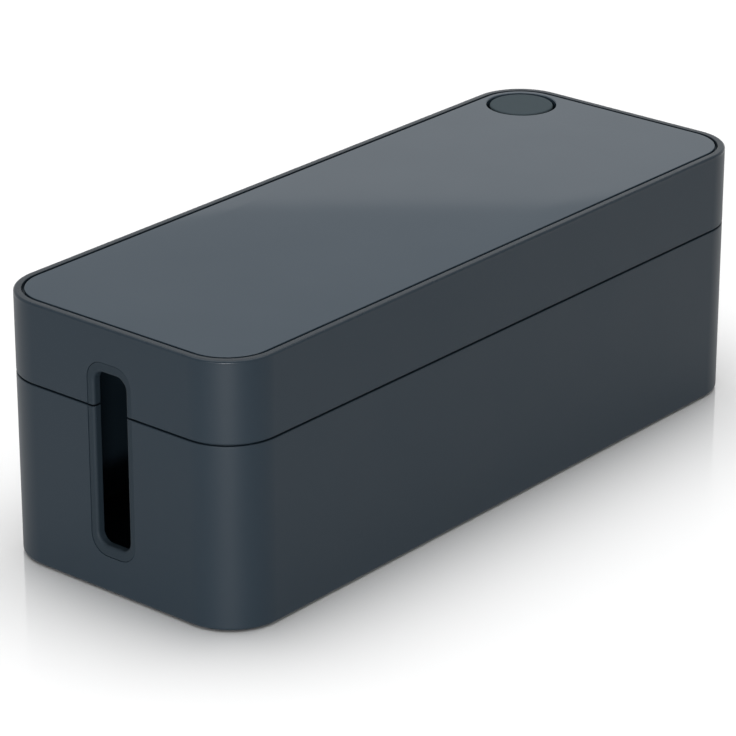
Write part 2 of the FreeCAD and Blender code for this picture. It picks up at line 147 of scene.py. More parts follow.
# %% Sizes of the cable slots and their trims
SIDE_BAND = 3.9 * MM
END_BAND = 5.3 * MM
SLOT_WIDTH = 2 * (trim_high.y - SIDE_BAND)
SLOT_LOW = trim_low.z + END_BAND
SLOT_HIGH = upper_high.z - END_BAND
SLOT_RADIUS = 6.0 * MM
SLOT_EDGE_ROUND = 1.8 * MM
TRIM_FACE = trim_low.x + LENGTH / 2
TRIM_BACK = trim_high.x + LENGTH / 2
TRIM_WEB = 2.0 * MM
TRIM_RECESS = 1.2 * MM
TRIM_CLEARANCE = 0.1 * MM
TRIM_ROUND = 0.4 * MM
CHEEK_MARGIN = 1.4 * MM
CHEEK = trim_high.y + CHEEK_MARGIN
print(f"slot {SLOT_WIDTH / MM:.1f} x {(SLOT_HIGH - SLOT_LOW) / MM:.1f} mm")
print(f"trim {TRIM_BACK / MM:.1f} mm deep")

# %% Sizes of the studs and the feet
STUD_RADIUS = 2.0 * MM
STUD_CLEARANCE = 0.2 * MM
STUD_HEAD_RADIUS = 3.5 * MM
STUD_HEAD_HEIGHT = 1.2 * MM
STUD_COLUMNS = 5
STUD_ROWS = 2
STUD_FROM_OUTLET = 10.5 * MM
STUD_FROM_SIDE = 32 * MM
STUD_REACH = OUTLET.x - OUTLET_RADIUS - OUTLET_WALL - STUD_FROM_OUTLET
STUD_SPREAD = WIDTH / 2 - STUD_FROM_SIDE
FOOT_RECESS = 1.2 * MM
FOOT_CLEARANCE = 0.2 * MM
FOOT_ROUND = 0.3 * MM
OVERRUN = 5.0 * MM
print(f"{STUD_COLUMNS * STUD_ROWS} studs over {2 * STUD_REACH / MM:.0f} x {2 * STUD_SPREAD / MM:.0f} mm")

# %% [markdown]
# A curve in a mesh is a row of short steps. The rounds that show need enough of
# them to look smooth from close by, and small hidden ones need only a few.

# %% How finely a curve is divided
CORNER_STEPS = 24
ROUND_STEPS = 6
SMALL_STEPS = 3
TURN_STEPS = 128
STUD_STEPS = 24
FOOT_STEPS = 48
print(f"{CORNER_STEPS} steps to a corner, {TURN_STEPS} to a full turn")

# %% [markdown]
# ## The camera
# The photograph was taken with a long lens, from the left of the front and a
# little above. The camera's place, turn and lens come from fitting the box's
# outline, groove and parting line, so it needs no shift.

# %% Camera
CAMERA_PLACE = Vector((-1.3175072, -1.0959594, 0.7797467))
CAMERA_AZIMUTH = math.radians(-49.9228)
CAMERA_ELEVATION = math.radians(22.9956)
FOCAL_PIXELS = 3633.4477
PHOTO_PIXELS = 736
SENSOR = 36.0
NEAREST = 0.05
FARTHEST = 50.0


def add_camera():
    back = Vector((math.sin(CAMERA_AZIMUTH) * math.cos(CAMERA_ELEVATION),
                   -math.cos(CAMERA_AZIMUTH) * math.cos(CAMERA_ELEVATION),
                   math.sin(CAMERA_ELEVATION)))
    right = Vector((math.cos(CAMERA_AZIMUTH), math.sin(CAMERA_AZIMUTH), 0))
    camera = bpy.data.cameras.new("camera")
    camera.sensor_width = SENSOR
    camera.lens = FOCAL_PIXELS / PHOTO_PIXELS * SENSOR
    camera.clip_start = NEAREST
    camera.clip_end = FARTHEST
    holder = bpy.data.objects.new("camera", camera)
    turn = Matrix((right, back.cross(right), back)).transposed().to_4x4()
    holder.matrix_world = Matrix.Translation(CAMERA_PLACE) @ turn
    bpy.context.scene.collection.objects.link(holder)
    bpy.context.scene.camera = holder
    return camera


print(f"lens {add_camera().lens:.1f} mm")

# %% [markdown]
# ## Adding nodes
# Geometry trees and shader trees are built alike: add a node, change its
# settings, and give each input a link or a value. One small class does it for
# both. A word in quotes stands for one of the group's own named inputs.

# %% A helper for node trees


class Nodes:
    """Adds nodes to a tree, each with its settings, and its inputs linked or given a value."""

    def __init__(self, tree, given=None):
        self.tree = tree
        self.given = given

    def add(self, kind, settings=(), *ordered, **named):
        node = self.tree.nodes.new(kind)
        for key, value in dict(settings).items():
            setattr(node, key, value)
        for number, source in enumerate(ordered):
            self.feed(node.inputs[number], source)
        for label, source in named.items():
            self.feed(node.inputs[label.replace("_", " ")], source)
        return node

    def feed(self, socket, source):
        if isinstance(source, str):
            source = self.given.outputs[source]
        if isinstance(source, bpy.types.Node):
            source = source.outputs[0]
        if isinstance(source, bpy.types.NodeSocket):
            self.tree.links.new(source, socket)
        else:
            socket.default_value = source

    def math(self, operation, *values):
        return self.add("ShaderNodeMath", {"operation": operation}, *values)


# %% [markdown]
# ## One grain for every moulding
# The tools that mould such a box are spark eroded, which leaves the plastic
# with a fine pebbled grain, a little cloudiness and no sharp gloss. Rubber has
# a finer, drier grain. A picture of grain could be wrapped round each piece, but
# it would need seams, so the grain is made from noise that fills space, read at
# Object coordinates. All the materials share one group and give it their own
# values.

# %% Shader group: moulded grain
CLOUD_SIZE = 45 * MM
CLOUD_DETAIL = 3.0
GRAIN_DETAIL = 2.0
PEBBLE_SHARE = 0.55
HALF = 0.5


def grain_group():
    """Noise that mottles a colour and a roughness, and the height of a pebbled grain."""
    group = bpy.data.node_groups.new("moulded_grain", "ShaderNodeTree")
    face = group.interface
    for label, kind, value in (("Color", "NodeSocketColor", (0.05, 0.05, 0.05, 1)),
                               ("Roughness", "NodeSocketFloat", 0.5),
                               ("Grain Size", "NodeSocketFloat", 0.5 * MM),
                               ("Mottle", "NodeSocketFloat", 0.1),
                               ("Gloss Spread", "NodeSocketFloat", 0.1)):
        face.new_socket(name=label, in_out="INPUT", socket_type=kind).default_value = value
    face.new_socket(name="Color", in_out="OUTPUT", socket_type="NodeSocketColor")
    for label in ("Roughness", "Height", "Cloud"):
        face.new_socket(name=label, in_out="OUTPUT", socket_type="NodeSocketFloat")
    nodes = Nodes(group, group.nodes.new("NodeGroupInput"))
    place = nodes.add("ShaderNodeTexCoord").outputs["Object"]
    density = nodes.math("DIVIDE", 1.0, "Grain Size")
    fine = nodes.add("ShaderNodeTexNoise", Vector=place, Scale=density, Detail=GRAIN_DETAIL).outputs["Fac"]
    pebble = nodes.add("ShaderNodeTexVoronoi", Vector=place, Scale=density)
    cloud = nodes.add("ShaderNodeTexNoise", Vector=place, Scale=1 / CLOUD_SIZE, Detail=CLOUD_DETAIL)
    cloud = cloud.outputs["Fac"]
    height = nodes.math("ADD", nodes.math("MULTIPLY", fine, 1 - PEBBLE_SHARE),
                        nodes.math("MULTIPLY", pebble.outputs["Distance"], PEBBLE_SHARE))
    off_middle = nodes.math("SUBTRACT", nodes.math("MULTIPLY", nodes.math("ADD", fine, cloud), HALF), HALF)
    tone = nodes.math("MULTIPLY_ADD", off_middle, "Mottle", 1.0)
    gloss = nodes.math("MULTIPLY", nodes.math("SUBTRACT", cloud, HALF), "Gloss Spread")
    tinted = nodes.add("ShaderNodeVectorMath", {"operation": "SCALE"}, Vector="Color", Scale=tone)
    output = group.nodes.new("NodeGroupOutput")
    nodes.feed(output.inputs["Color"], tinted)
    nodes.feed(output.inputs["Roughness"], nodes.math("ADD", "Roughness", gloss))
    nodes.feed(output.inputs["Height"], height)
    nodes.feed(output.inputs["Cloud"], cloud)
    return group


GRAIN = grain_group()
print("grain inputs:", [item.name for item in GRAIN.interface.items_tree if item.in_out == "INPUT"])

# %% [markdown]
# ## Where hands touch
# A lid that is lifted off gets polished along its rim, where hands hold it. The
# rim runs round the box at one height, so height alone can find it, and no mask
# has to be painted. The second group eases the roughness near that height,
# broken up by noise, so that the rim shines a little more than the walls.

# %% Shader group: rubbed edge
RUB_PATCH = 12 * MM


def rub_group():
    """Lowers a roughness near one height, in patches."""
    group = bpy.data.node_groups.new("rubbed_edge", "ShaderNodeTree")
    face = group.interface
    for label, value in (("Roughness", 0.5), ("Edge Height", 0.1), ("Reach", 3 * MM), ("Amount", 0.1)):
        face.new_socket(name=label, in_out="INPUT", socket_type="NodeSocketFloat").default_value = value
    face.new_socket(name="Roughness", in_out="OUTPUT", socket_type="NodeSocketFloat")
    nodes = Nodes(group, group.nodes.new("NodeGroupInput"))
    place = nodes.add("ShaderNodeTexCoord").outputs["Object"]
    level = nodes.add("ShaderNodeSeparateXYZ", {}, place).outputs["Z"]
    away = nodes.math("ABSOLUTE", nodes.math("SUBTRACT", level, "Edge Height"))
    near = nodes.add("ShaderNodeMapRange", {"interpolation_type": "SMOOTHSTEP"}, Value=away,
                     From_Min=0.0, From_Max="Reach", To_Min=1.0, To_Max=0.0).outputs["Result"]
    patch = nodes.add("ShaderNodeTexNoise", Vector=place, Scale=1 / RUB_PATCH).outputs["Fac"]
    mask = nodes.math("MULTIPLY", near, patch)
    output = group.nodes.new("NodeGroupOutput")
    eased = nodes.math("SUBTRACT", "Roughness", nodes.math("MULTIPLY", mask, "Amount"))
    nodes.feed(output.inputs["Roughness"], eased)
    return group


RUB = rub_group()
print("groups:", GRAIN.name, RUB.name)

# %% [markdown]
# ## The finishes
# Each finish is one Principled shader. Its plain numbers, such as the specular
# level, are set on the shader's own sockets, and only what changes over the
# surface comes from the groups. The shell is fine matt plastic. The panel is a
# lighter slate grey under a smooth lacquer, which mirrors the backdrop's edge as
# a soft line. Plug and trims are dry rubber, duller than the plastic, and the
# feet are black.

# %% A finish from its numbers
COAT_CLOUD = 0.06


def finish(name, color, roughness, grain, depth, mottle=0.10, gloss_spread=0.10, specular=0.3,
           coat=0.0, coat_roughness=0.03, edge=None):
    """A moulded finish: grain size and depth in metres, and a rubbed edge as height, reach, amount."""
    material = bpy.data.materials.new(name)
    material.use_nodes = True
    nodes = Nodes(material.node_tree)
    shader = material.node_tree.nodes["Principled BSDF"]
    shader.inputs["Specular IOR Level"].default_value = specular
    shader.inputs["Coat Roughness"].default_value = coat_roughness
    group = nodes.add("ShaderNodeGroup", {"node_tree": GRAIN}, Color=(*color, 1), Roughness=roughness,
                      Grain_Size=grain, Mottle=mottle, Gloss_Spread=gloss_spread)
    bump = nodes.add("ShaderNodeBump", Height=group.outputs["Height"], Distance=depth)
    nodes.feed(shader.inputs["Base Color"], group.outputs["Color"])
    nodes.feed(shader.inputs["Normal"], bump)
    dullness = group.outputs["Roughness"]
    if edge:
        height, reach, amount = edge
        rub = nodes.add("ShaderNodeGroup", {"node_tree": RUB}, Roughness=dullness, Edge_Height=height,
                        Reach=reach, Amount=amount)
        dullness = rub.outputs["Roughness"]
    nodes.feed(shader.inputs["Roughness"], dullness)
    if coat:
        thickness = nodes.math("MULTIPLY_ADD", group.outputs["Cloud"], COAT_CLOUD, coat - COAT_CLOUD * HALF)
        nodes.feed(shader.inputs["Coat Weight"], thickness)
    return material


# %% The five finishes
SLATE = (0.0102, 0.0182, 0.0262)
PANEL_SLATE = (0.0290, 0.0465, 0.0640)
PLUG_SLATE = (0.037, 0.052, 0.060)
TRIM_SLATE = (0.0112, 0.0182, 0.0248)
FOOT_BLACK = (0.020, 0.020, 0.021)
RIM_REACH = 3 * MM
RIM_POLISH = 0.36
SHELL = finish("shell_plastic", SLATE, roughness=0.44, grain=0.55 * MM, depth=0.010 * MM,
               specular=0.20, edge=(TOP, RIM_REACH, RIM_POLISH))
PANEL = finish("panel_plastic", PANEL_SLATE, roughness=0.45, grain=0.50 * MM, depth=0.006 * MM,
               specular=0.0, coat=0.67)
PLUG = finish("plug_rubber", PLUG_SLATE, roughness=0.70, grain=0.40 * MM, depth=0.012 * MM,
              mottle=0.14, specular=0.12)
TRIM = finish("trim_rubber", TRIM_SLATE, roughness=0.60, grain=0.40 * MM, depth=0.010 * MM,
              mottle=0.14, specular=0.15)
FOOT = finish("foot_rubber", FOOT_BLACK, roughness=0.80, grain=0.45 * MM, depth=0.015 * MM, mottle=0.20)
print("finishes:", [material.name for material in (SHELL, PANEL, PLUG, TRIM, FOOT)])

# %% [markdown]
# ## A section and a path
# Both mouldings have one rule: the same wall section all the way round a
# rectangle with round corners. So each starts as the line of its section, drawn
# as inset from the outer wall against height, and Geometry Nodes sweep it round
# the outline. The line runs so that the plastic is on its right, which makes
# every face point outwards.

# %% Lines and arcs of a section


def arc(centre, radius, start, stop, steps=ROUND_STEPS):
    """Points on an arc of a section, in degrees from the way in, turning upwards."""
    turns = [math.radians(start + (stop - start) * step / steps) for step in range(steps + 1)]
    return [(centre[0] + radius * math.cos(turn), centre[1] + radius * math.sin(turn)) for turn in turns]


def place_in_scene(name, mesh):
    """An object for a mesh, at the origin, unturned and unscaled."""
    obj = bpy.data.objects.new(name, mesh)
    bpy.context.scene.collection.objects.link(obj)
    return obj


def section_object(name, points):
    """An edges-only mesh of a section, as (inset, height) points."""
    mesh = bpy.data.meshes.new(name)
    steps = [(number, number + 1) for number in range(len(points) - 1)]
    mesh.from_pydata([(-inset, -height, 0) for inset, height in points], steps, [])
    return place_in_scene(name, mesh)


# %% [markdown]
# The trees are built here, with named inputs for their sizes. The outline tree
# sweeps a section round a rectangle with round corners, the turning tree sweeps
# one round a circle, as a lathe would, and the stud tree stands such a turned
# shape on every point of a grid. Each ends in real geometry with its material,
# because the export drops instances.

# %% Geometry Nodes: the frame of a tree


class Tree(Nodes):
    """A Geometry Nodes tree built in the script, with named inputs."""

    def __init__(self, name, sockets):
        tree = bpy.data.node_groups.new(name, "GeometryNodeTree")
        tree.is_modifier = True
        self.ids = {}
        for label, kind, value in (("Geometry", "NodeSocketGeometry", None), *sockets,
                                   ("Material", "NodeSocketMaterial", None)):
            socket = tree.interface.new_socket(name=label, in_out="INPUT", socket_type=kind)
            if value is not None:
                socket.default_value = value
            self.ids[label] = socket.identifier
        tree.interface.new_socket(name="Geometry", in_out="OUTPUT", socket_type="NodeSocketGeometry")
        super().__init__(tree, tree.nodes.new("NodeGroupInput"))

    def sweep(self, path):
        """The tree's own geometry, a section, swept along a path kept upright."""
        upright = self.add("GeometryNodeSetCurveNormal", {"mode": "Z_UP"}, Curve=path)
        section = self.add("GeometryNodeMeshToCurve", Mesh="Geometry")
        return self.add("GeometryNodeCurveToMesh", Curve=upright, Profile_Curve=section)

    def finish(self, geometry):
        """End the tree as the export needs it: real mesh, with its material."""
        real = self.add("GeometryNodeRealizeInstances", Geometry=geometry)
        painted = self.add("GeometryNodeSetMaterial", Geometry=real, Material="Material")
        output = self.tree.nodes.new("NodeGroupOutput")
        self.feed(output.inputs["Geometry"], painted)
        return self


# %% Geometry Nodes: outline, turning and studs


def outline_tree():
    """Sweeps a section round a rectangle with round corners."""
    tree = Tree("sweep_round_outline", (
        ("Length", "NodeSocketFloat", LENGTH), ("Width", "NodeSocketFloat", WIDTH),
        ("Corner Radius", "NodeSocketFloat", CORNER_RADIUS),
        ("Corner Steps", "NodeSocketInt", CORNER_STEPS)))
    rectangle = tree.add("GeometryNodeCurvePrimitiveQuadrilateral", {"mode": "RECTANGLE"},
                         Width="Length", Height="Width")
    rounded = tree.add("GeometryNodeFilletCurve", {"mode": "POLY"}, Curve=rectangle,
                       Radius="Corner Radius", Count="Corner Steps")
    return tree.finish(tree.sweep(rounded))


def turned(tree):
    """The tree's section turned round an upright axis, its insets from a circle."""
    circle = tree.add("GeometryNodeCurvePrimitiveCircle", {"mode": "RADIUS"},
                      Resolution="Steps", Radius="Radius")
    return tree.sweep(circle)


def turning_tree():
    tree = Tree("turn_round_axis", (
        ("Radius", "NodeSocketFloat", PLUG_RADIUS), ("Steps", "NodeSocketInt", TURN_STEPS)))
    return tree.finish(turned(tree))


def stud_tree():
    """Turns a section, and stands a copy on every point of a grid."""
    tree = Tree("studs_on_grid", (
        ("Radius", "NodeSocketFloat", STUD_HEAD_RADIUS), ("Steps", "NodeSocketInt", STUD_STEPS),
        ("Reach", "NodeSocketFloat", 2 * STUD_REACH), ("Spread", "NodeSocketFloat", 2 * STUD_SPREAD),
        ("Columns", "NodeSocketInt", STUD_COLUMNS), ("Rows", "NodeSocketInt", STUD_ROWS)))
    grid = tree.add("GeometryNodeMeshGrid", {}, "Reach", "Spread", "Columns", "Rows")
    stood = tree.add("GeometryNodeInstanceOnPoints", Points=grid, Instance=turned(tree))
    return tree.finish(stood)


OUTLINE = outline_tree()
TURNING = turning_tree()
STUDS = stud_tree()
print("trees:", OUTLINE.tree.name, TURNING.tree.name, STUDS.tree.name)

# %% [markdown]
# ## From a modifier to a plain mesh
# A modifier's input is set by its socket's identifier before the object is
# first evaluated.

# %% Evaluate and fill
SAME_POINT = 1e-6


def evaluated_mesh(obj):
    """The object's mesh with its modifiers applied."""
    graph = bpy.context.evaluated_depsgraph_get()
    return bpy.data.meshes.new_from_object(obj.evaluated_get(graph))


def swept(name, points, tree=OUTLINE, material=None, place=(0, 0, 0), **inputs):
    """A closed mesh object: a section swept by a tree, with its ends filled."""
    obj = section_object(name, points)
    modifier = obj.modifiers.new("sweep", "NODES")
    modifier.node_group = tree.tree
    for label, value in inputs.items():
        modifier[tree.ids[label.replace("_", " ")]] = value
    if material:
        modifier[tree.ids["Material"]] = material
    mesh = evaluated_mesh(obj)
    mesh.name = name
    obj.modifiers.clear()
    obj.data = mesh
    edit = bmesh.new()
    edit.from_mesh(mesh)
    bmesh.ops.remove_doubles(edit, verts=edit.verts, dist=SAME_POINT)
    bmesh.ops.holes_fill(edit, edges=edit.edges, sides=0)
    bmesh.ops.translate(edit, verts=edit.verts, vec=Vector(place))
    edit.to_mesh(mesh)
    edit.free()
    return obj


# %% [markdown]
# Slots, recesses and holes are cut as a workshop would cut them: a solid of the
# hole's shape is taken away. Such a cutter is a stack of rings, each the same
# outline at another level, closed at both ends.

# %% Cutters and booleans


def between_rings(edit, loops):
    """Faces from each ring of vertices to the next."""
    for lower, upper in zip(loops, loops[1:]):
        for number in range(len(lower)):
            following = (number + 1) % len(lower)
            edit.faces.new((lower[number], lower[following], upper[following], upper[number]))


def stack(name, rings):
    """A closed solid through rings of points, its first and last rings filled."""
    edit = bmesh.new()
    loops = [[edit.verts.new(point) for point in ring] for ring in rings]
    between_rings(edit, loops)
    edit.faces.new(loops[0])
    edit.faces.new(loops[-1])
    bmesh.ops.recalc_face_normals(edit, faces=edit.faces)
    mesh = bpy.data.meshes.new(name)
    edit.to_mesh(mesh)
    edit.free()
    return place_in_scene(name, mesh)


def combine(obj, others, operation="DIFFERENCE"):
    """Cut other solids from an object, or join them to it, and drop them."""
    for other in others:
        modifier = obj.modifiers.new("combine", "BOOLEAN")
        modifier.operation = operation
        modifier.solver = "EXACT"
        modifier.object = other
    mesh = evaluated_mesh(obj)
    mesh.name = obj.name
    obj.modifiers.clear()
    obj.data = mesh
    for other in others:
        bpy.data.objects.remove(other)
    return obj


def block(name, low, high):
    """A block between two corners."""
    ring = [(low[0], low[1]), (high[0], low[1]), (high[0], high[1]), (low[0], high[1])]
    return stack(name, [[(x, y, z) for x, y in ring] for z in (low[2], high[2])])


def round_stack(name, levels, centre, steps=TURN_STEPS):
    """An upright turned solid, from its radius at each level."""
    turns = [math.tau * step / steps for step in range(steps)]
    rings = [[(centre[0] + radius * math.cos(turn), centre[1] + radius * math.sin(turn), z)
              for turn in turns] for radius, z in levels]
    return stack(name, rings)


# %% [markdown]
# ## Shading, and a place in the frame
# A moulded wall is flat between its rounds. Smooth shading with sharp edges
# marked by angle, and normals weighted by face area, keep it so. Then the piece
# stands for its node, whose own mesh is hidden, and rides on its body.

# %% Finish a piece
SHARP_ANGLE = math.radians(40)
WHOLE_WEIGHT = 100


def shade(obj):
    """Smooth shading that keeps flat faces flat and hard edges hard."""
    mesh = obj.data
    mesh.polygons.foreach_set("use_smooth", [True] * len(mesh.polygons))
    mesh.set_sharp_from_angle(angle=SHARP_ANGLE)
    weighted = obj.modifiers.new("weighted_normals", "WEIGHTED_NORMAL")
    weighted.keep_sharp = True
    weighted.weight = WHOLE_WEIGHT
    mesh.calc_loop_triangles()
    print(f"{obj.name}: {len(mesh.loop_triangles)} triangles")


def fit(obj, node, body):
    """Shade a piece, let it stand for a node, and let it ride on the node's body."""
    shade(obj)
    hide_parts(node)
    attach(obj, body)


# %% [markdown]
# ## Cutters for the cable slots
# Each end wall has a tall slot with round corners and, outside, a shallow
# recess that the trim's face lies in. Both are the slot's outline grown beside
# and above it, at several places across the wall.

# %% Slot outlines
SIDES = (-1, 1)
RIGHT_ANGLE = 90
QUARTERS = ((1, 1, 0), (-1, 1, 90), (-1, -1, 180), (1, -1, 270))
SLOT_STEPS = 12


def rounded_ring(half_width, half_height, radius):
    """Points of a rectangle with round corners, anticlockwise, about zero."""
    ring = []
    for across, along, start in QUARTERS:
        centre = (across * (half_width - radius), along * (half_height - radius))
        ring += arc(centre, radius, start, start + RIGHT_ANGLE, SLOT_STEPS)
    return ring


def slot_ring(beside, above, x):
    """The cable slot's outline at a place along X, grown beside and above it."""
    middle = (SLOT_LOW + SLOT_HIGH) / 2
    half_height = (SLOT_HIGH - SLOT_LOW) / 2
    ring = rounded_ring(SLOT_WIDTH / 2 + beside, half_height + above, SLOT_RADIUS + beside)
    return [(x, y, middle + z) for y, z in ring]


def slot_cutters(side):
    """What is cut from the end wall on one side: the slot and the recess round it."""
    outside = side * (LENGTH / 2 + OVERRUN)
    inside = side * (LENGTH / 2 - WALL - OVERRUN)
    shelf = side * (LENGTH / 2 - TRIM_RECESS)
    web = TRIM_WEB + TRIM_CLEARANCE
    bands = (SIDE_BAND + TRIM_CLEARANCE, END_BAND + TRIM_CLEARANCE)
    return [stack("slot", [slot_ring(web, web, outside), slot_ring(web, web, inside)]),
            stack("recess", [slot_ring(*bands, outside), slot_ring(*bands, shelf)])]


print(f"slot outline: {len(slot_ring(0, 0, 0))} points")

# %% [markdown]
# ## The tub
# The tub is the lower moulding: a floor, a wall with a small round at the
# bottom, and a rim with a tongue that the lid drops over. A block could be
# hollowed out with booleans, but then every round would need a bevel. Sweeping
# the section gives the rounds where they are drawn. The floor is one flat face
# that closes the sweep's open middle.

# %% The tub's section
FLAT_INSET = 18 * MM


def tub_section():
    """The tub's wall from the middle of the floor, up inside, over and down."""
    return [
        (FLAT_INSET, FLOOR_TOP),
        *arc((WALL + FLOOR_ROUND, FLOOR_TOP + FLOOR_ROUND), FLOOR_ROUND, 270, 180),
        (WALL, TONGUE_TOP),
        (TONGUE_INSET + TONGUE_CHAMFER, TONGUE_TOP),
        (TONGUE_INSET, TONGUE_TOP - TONGUE_CHAMFER),
        (TONGUE_INSET, TUB_RIM),
        *arc((SEAM_ROUND, TUB_RIM - SEAM_ROUND), SEAM_ROUND, 90, 180, SMALL_STEPS),
        *arc((BOTTOM_ROUND, TUB_BOTTOM + BOTTOM_ROUND), BOTTOM_ROUND, 180, 270),
        (FLAT_INSET, TUB_BOTTOM),
    ]


print(f"tub section: {len(tub_section())} points")

# %% The tub, with its slots and foot recesses
FEET = {name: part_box(name) for name in sorted(frame["nodes"]) if name.startswith("foot_")}


def middle(box):
    """The middle of a node's box, seen from above."""
    low, high = box
    return ((low.x + high.x) / 2, (low.y + high.y) / 2)


def tongue_gap(side):
    """The tongue stops beside the slot, where the lid's wall is whole."""
    low_x, high_x = sorted((side * (LENGTH / 2 - WALL - OVERRUN), side * (LENGTH / 2 + OVERRUN)))
    half = CHEEK + LID_CLEARANCE
    return block("tongue_gap", (low_x, -half, TUB_RIM), (high_x, half, TONGUE_TOP + OVERRUN))


def make_tub():
    tub = swept("tub", tub_section(), material=SHELL)
    recess = ((FOOT_RADIUS + FOOT_CLEARANCE, TUB_BOTTOM - OVERRUN),
              (FOOT_RADIUS + FOOT_CLEARANCE, TUB_BOTTOM + FOOT_RECESS))
    cutters = [round_stack("foot_recess", recess, middle(box), FOOT_STEPS) for box in FEET.values()]
    for side in SIDES:
        cutters += [tongue_gap(side), *slot_cutters(side)]
    fit(combine(tub, cutters), "base_tub", "tub")


make_tub()

# %% [markdown]
# ## The lid
# The lid is the upper moulding. Its skirt ends in a thin lip outside the tub's
# tongue, its rim frames the top, and its deck lies lower by the panel's
# thickness, so that the panel comes flush with the rim. Beside each slot the
# wall is whole, and a short tube under the deck carries the plug.

# %% The lid's section


def lid_section():
    """The lid's wall from the middle of the deck, out over the rim and back under."""
    return [
        (FLAT_INSET, DECK_TOP),
        (RIM_WIDTH, DECK_TOP),
        *arc((RIM_WIDTH - GROOVE_ROUND, TOP - GROOVE_ROUND), GROOVE_ROUND, 0, 90, SMALL_STEPS),
        *arc((TOP_ROUND, TOP - TOP_ROUND), TOP_ROUND, 90, 180),
        *arc((SEAM_ROUND, SKIRT_EDGE + SEAM_ROUND), SEAM_ROUND, 180, 270, SMALL_STEPS),
        (LIP, SKIRT_EDGE),
        (LIP, TONGUE_TOP),
        (WALL, TONGUE_TOP),
        *arc((WALL + DECK_ROUND, DECK_UNDERSIDE - DECK_ROUND), DECK_ROUND, 180, 90),
        (FLAT_INSET, DECK_UNDERSIDE),
    ]


print(f"lid section: {len(lid_section())} points")

# %% The lid, with its outlet, cheeks, slots and stud holes
INTO_DECK = 1 * MM


def cheek(side):
    """The lid's whole wall beside the slot, where there is no tongue."""
    low_x, high_x = sorted((side * (LENGTH / 2 - WALL), side * (LENGTH / 2 - LIP / 2)))
    return block("cheek", (low_x, -CHEEK, SKIRT_EDGE), (high_x, CHEEK, TONGUE_TOP + INTO_DECK))


def stud_holes():
    """A straight hole through the deck for each stud."""
    radius = STUD_RADIUS + STUD_CLEARANCE
    points = [(radius / 2, DECK_TOP + OVERRUN), (0, DECK_TOP + OVERRUN),
              (0, DECK_UNDERSIDE - OVERRUN), (radius / 2, DECK_UNDERSIDE - OVERRUN)]
    return swept("stud_holes", points, tree=STUDS, Radius=radius)


def make_lid():
    lid = swept("lid", lid_section(), material=SHELL)
    centre = (OUTLET.x, OUTLET.y)
    tube_radius = OUTLET_RADIUS + OUTLET_WALL
    tube = ((tube_radius, LEDGE_UNDERSIDE), (tube_radius, DECK_TOP - INTO_DECK))
    cheeks = [cheek(side) for side in SIDES]
    combine(lid, [round_stack("tube", tube, centre), *cheeks], "UNION")
    well = ((OUTLET_RADIUS, LEDGE_TOP), (OUTLET_RADIUS, TOP + OVERRUN))
    hole = ((LEDGE_RADIUS, LEDGE_UNDERSIDE - OVERRUN), (LEDGE_RADIUS, TOP + OVERRUN))
    cutters = [round_stack("well", well, centre), round_stack("hole", hole, centre), stud_holes()]
    for side in SIDES:
        cutters += slot_cutters(side)
    fit(combine(lid, cutters), "lid_shell", "lid")


make_lid()

# %% [markdown]
# ## The top panel and its studs
# The panel is a flat plate that lies in the lid with a narrow groove all round,
# which the eye reads as one dark line. It is held by studs that pass through
# the deck and are melted into round heads below. The plate is swept like the
# lid, the outlet's flared edge is cut from it, and the studs repeat on a grid,
# so one section and the stud tree make them all.

# %% The panel


def flared_hole():
    """A cutter as wide as the outlet, flared at the top to leave a round edge."""
    edge = OUTLET_EDGE_ROUND
    flare = [(OUTLET_RADIUS + edge - inset, z) for inset, z in arc((0, TOP - edge), edge, 0, 90)]
    levels = [(OUTLET_RADIUS, DECK_TOP - OVERRUN), *flare, (OUTLET_RADIUS + edge, TOP + OVERRUN)]
    return round_stack("outlet", levels, (OUTLET.x, OUTLET.y))


def make_panel():
    points = [
        (PANEL_INSET + FLAT_INSET, TOP),
        *arc((PANEL_INSET + GROOVE_ROUND, TOP - GROOVE_ROUND), GROOVE_ROUND, 90, 180, SMALL_STEPS),
        (PANEL_INSET, DECK_TOP),
        (PANEL_INSET + FLAT_INSET, DECK_TOP),
    ]
    panel = combine(swept("top_panel", points, material=PANEL), [flared_hole()])
    fit(panel, "lid_top_panel", "lid")


make_panel()

# %% The studs


def make_studs():
    """Shanks through the deck, with heads melted into low domes below it."""
    shank = STUD_HEAD_RADIUS - STUD_RADIUS
    low = DECK_UNDERSIDE - STUD_HEAD_HEIGHT
    points = [
        (STUD_HEAD_RADIUS - STUD_RADIUS / 2, DECK_TOP),
        (shank, DECK_TOP),
        (shank, DECK_UNDERSIDE),
        (0, DECK_UNDERSIDE),
        *arc((STUD_HEAD_HEIGHT, DECK_UNDERSIDE), STUD_HEAD_HEIGHT, 180, 270),
        (STUD_HEAD_RADIUS - STUD_RADIUS / 2, low),
    ]
    studs = swept("panel_studs", points, tree=STUDS, material=PANEL)
    fit(studs, "lid_top_panel", "lid")


make_studs()

# %% [markdown]
# ## The plug
# The plug is soft rubber: a thick round top that lies flush with the panel
# inside a finger gap, on a wall that stands on the ledge, with a spigot that
# keeps it in the hole. It is hollow below. A lathe shape like this is one
# section turned round an axis.

# %% The plug


